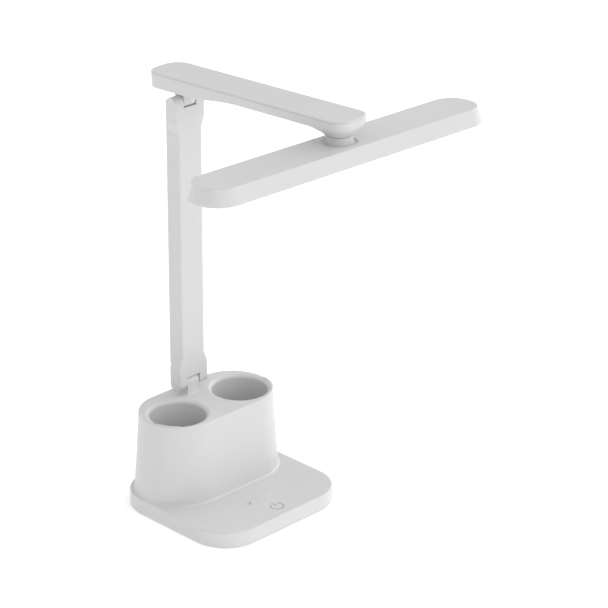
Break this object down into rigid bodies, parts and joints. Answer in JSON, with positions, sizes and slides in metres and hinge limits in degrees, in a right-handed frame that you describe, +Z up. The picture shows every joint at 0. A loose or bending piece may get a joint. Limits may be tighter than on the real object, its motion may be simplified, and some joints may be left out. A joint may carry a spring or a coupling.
{
  "type": "folding led desk lamp",
  "caption": "Folding desk lamp: weighted base with a twin pen holder, hinged upright post, hinged flat arm and a long swivelling light bar.",
  "frame": {"origin": "on the desk, under the middle of the base plate", "axes": "+X from one pen cup to the other, to the right seen from the front; -Y the front, where the light bar is; +Z up"},
  "size_m": [0.2814, 0.2243, 0.3668],
  "materials": {
    "white_abs": "fine matt moulded white",
    "grey_abs": "matt moulded",
    "screw_steel": "zinc plated",
    "black_rubber": "matt",
    "ballast_iron": "plain rolled plate",
    "cell_wrap": "shrink sleeve",
    "board_green": "solder mask",
    "board_blue": "solder mask",
    "socket_steel": "plated",
    "lead_pvc": "soft sleeve",
    "pin_steel": "ground",
    "spring_bronze": "rolled",
    "board_aluminium": "white coated",
    "led_phosphor": "cast phosphor",
    "opal_pc": "opal, lets light through"
  },
  "bodies": {
    "base": {"base_shell": "white_abs", "bottom_cover": "grey_abs", "cover_screws": "screw_steel", "rubber_feet": "black_rubber", "ballast_plate": "ballast_iron", "battery_cell": "cell_wrap", "control_board": "board_green", "board_screws": "screw_steel", "usb_socket": "socket_steel", "touch_board": "board_blue", "touch_lead": "lead_pvc"},
    "post": {"post_front_shell": "white_abs", "post_rear_cover": "white_abs", "post_lead": "lead_pvc", "lower_hinge_pin": "pin_steel", "lower_washers": "spring_bronze", "lower_pin_cap": "white_abs", "upper_hinge_pin": "pin_steel", "upper_washers": "spring_bronze", "upper_pin_cap": "white_abs"},
    "arm": {"arm_shell": "white_abs", "arm_top_cover": "white_abs", "arm_lead": "lead_pvc"},
    "light_bar": {"swivel_neck": "white_abs", "swivel_washer": "spring_bronze", "swivel_nut": "pin_steel", "neck_screws": "screw_steel", "bar_shell": "white_abs", "led_board": "board_aluminium", "led_chips": "led_phosphor", "led_screws": "screw_steel", "diffuser": "opal_pc"}
  },
  "joints": [
    {"name": "lower_hinge", "type": "hinge", "parent": "base", "child": "post", "pos_m": [0, 0.049, 0.0931], "axis": [1, 0, 0], "range_deg": [-15, 90]},
    {"name": "upper_hinge", "type": "hinge", "parent": "post", "child": "arm", "pos_m": [0, 0.049, 0.335], "axis": [-1, 0, 0], "range_deg": [-45, 85]},
    {"name": "bar_swivel", "type": "hinge", "parent": "arm", "child": "light_bar", "pos_m": [0, -0.11923, 0.34249], "axis": [0, 0.0445, 0.999], "range_deg": [-87.6, 92.4]}
  ]
}
